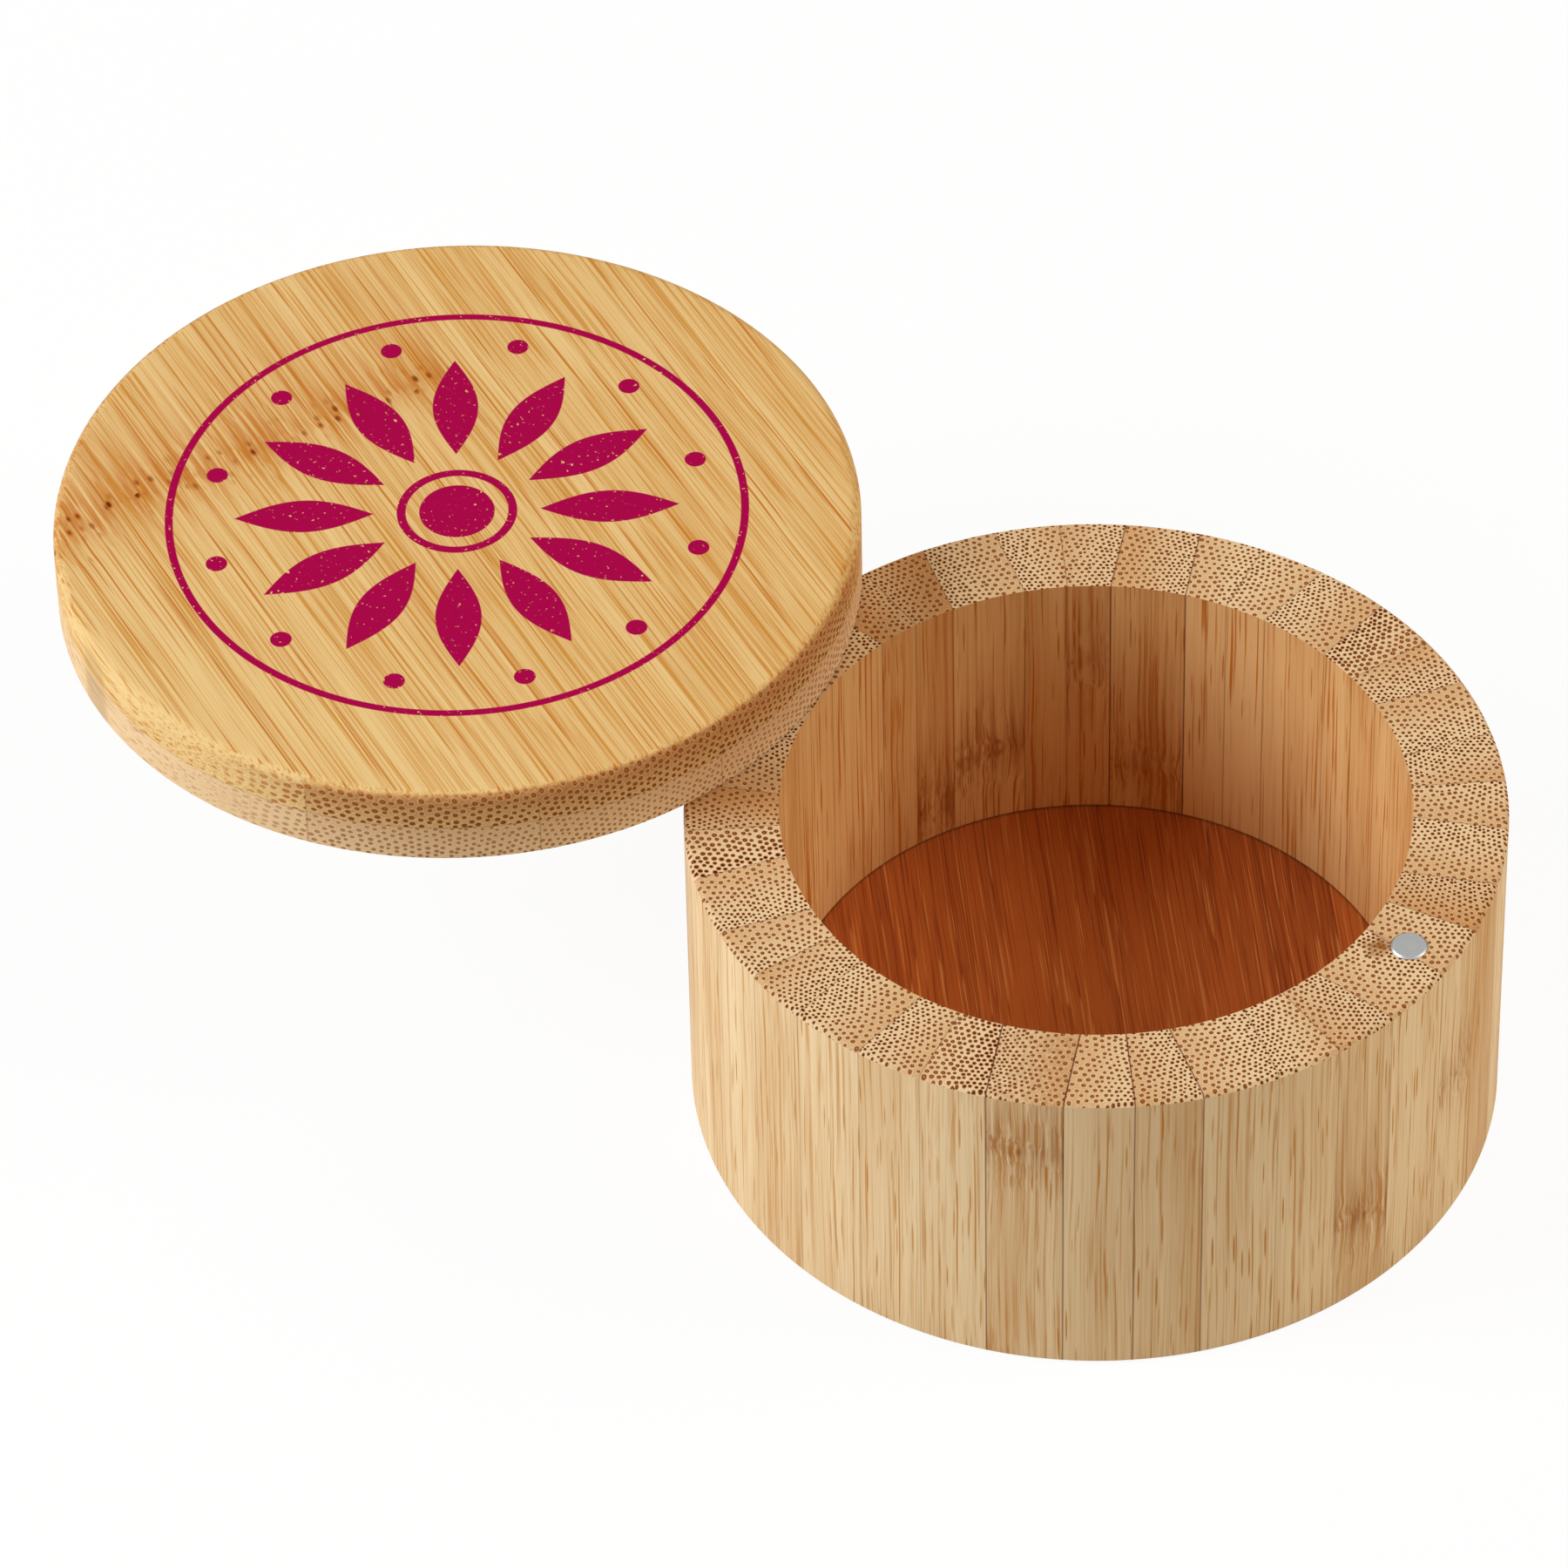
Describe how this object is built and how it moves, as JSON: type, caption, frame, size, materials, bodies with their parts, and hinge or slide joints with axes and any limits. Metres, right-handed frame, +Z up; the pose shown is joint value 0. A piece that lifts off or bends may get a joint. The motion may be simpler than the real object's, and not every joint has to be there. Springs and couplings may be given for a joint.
{
  "type": "round bamboo keeper with swivel lid",
  "caption": "Low round bamboo keeper with a thick staved wall, a dark inset base and a flat two-ply lid that swivels open on a hidden pin and is held shut by a magnet.",
  "frame": {"origin": "middle of the round underside of the box, on the surface it stands on", "axes": "+Z up; the pivot pin and the open lid are towards -X, the rim magnet towards +X"},
  "size_m": [0.1695, 0.09, 0.0505],
  "materials": {
    "wall_bamboo": "sanded, bare",
    "base_bamboo": "satin, carbonised",
    "lid_under_bamboo": "sanded, bare",
    "lid_top_bamboo": "sanded, oiled",
    "nickel": "nickel plate",
    "pin_steel": "ground"
  },
  "bodies": {
    "box": {"base_strip_1": "base_bamboo", "base_strip_2": "base_bamboo", "base_strip_3": "base_bamboo", "base_strip_4": "base_bamboo", "base_strip_5": "base_bamboo", "base_strip_6": "base_bamboo", "base_strip_7": "base_bamboo", "base_strip_8": "base_bamboo", "base_strip_9": "base_bamboo", "rim_magnet": "nickel", "stave_01_core": "wall_bamboo", "stave_01_left": "wall_bamboo", "stave_01_right": "wall_bamboo", "stave_02_core": "wall_bamboo", "stave_02_left": "wall_bamboo", "stave_02_right": "wall_bamboo", "stave_03_core": "wall_bamboo", "stave_03_left": "wall_bamboo", "stave_03_right": "wall_bamboo", "stave_04_core": "wall_bamboo", "stave_04_left": "wall_bamboo", "stave_04_right": "wall_bamboo", "stave_05_core": "wall_bamboo", "stave_05_left": "wall_bamboo", "stave_05_right": "wall_bamboo", "stave_06_core": "wall_bamboo", "stave_06_left": "wall_bamboo", "stave_06_right": "wall_bamboo", "stave_07_core": "wall_bamboo", "stave_07_left": "wall_bamboo", "stave_07_right": "wall_bamboo", "stave_08_core": "wall_bamboo", "stave_08_left": "wall_bamboo", "stave_08_right": "wall_bamboo", "stave_09_core": "wall_bamboo", "stave_09_left": "wall_bamboo", "stave_09_right": "wall_bamboo", "stave_10_core": "wall_bamboo", "stave_10_left": "wall_bamboo", "stave_10_right": "wall_bamboo", "stave_11_core": "wall_bamboo", "stave_11_left": "wall_bamboo", "stave_11_right": "wall_bamboo", "stave_12_core": "wall_bamboo", "stave_12_left": "wall_bamboo", "stave_12_right": "wall_bamboo"},
    "lid": {"lid_magnet": "nickel", "lid_top_strip_1": "lid_top_bamboo", "lid_top_strip_2": "lid_top_bamboo", "lid_top_strip_3": "lid_top_bamboo", "lid_top_strip_4": "lid_top_bamboo", "lid_top_strip_5": "lid_top_bamboo", "lid_under_strip_1": "lid_under_bamboo", "lid_under_strip_2": "lid_under_bamboo", "lid_under_strip_3": "lid_under_bamboo", "lid_under_strip_4": "lid_under_bamboo", "lid_under_strip_5": "lid_under_bamboo", "pivot_pin": "pin_steel"}
  },
  "joints": [
    {"name": "lid_swivel", "type": "hinge", "parent": "box", "child": "lid", "pos_m": [-0.0398, 0, 0.0407], "axis": [0, 0, 1], "continuous": true}
  ]
}
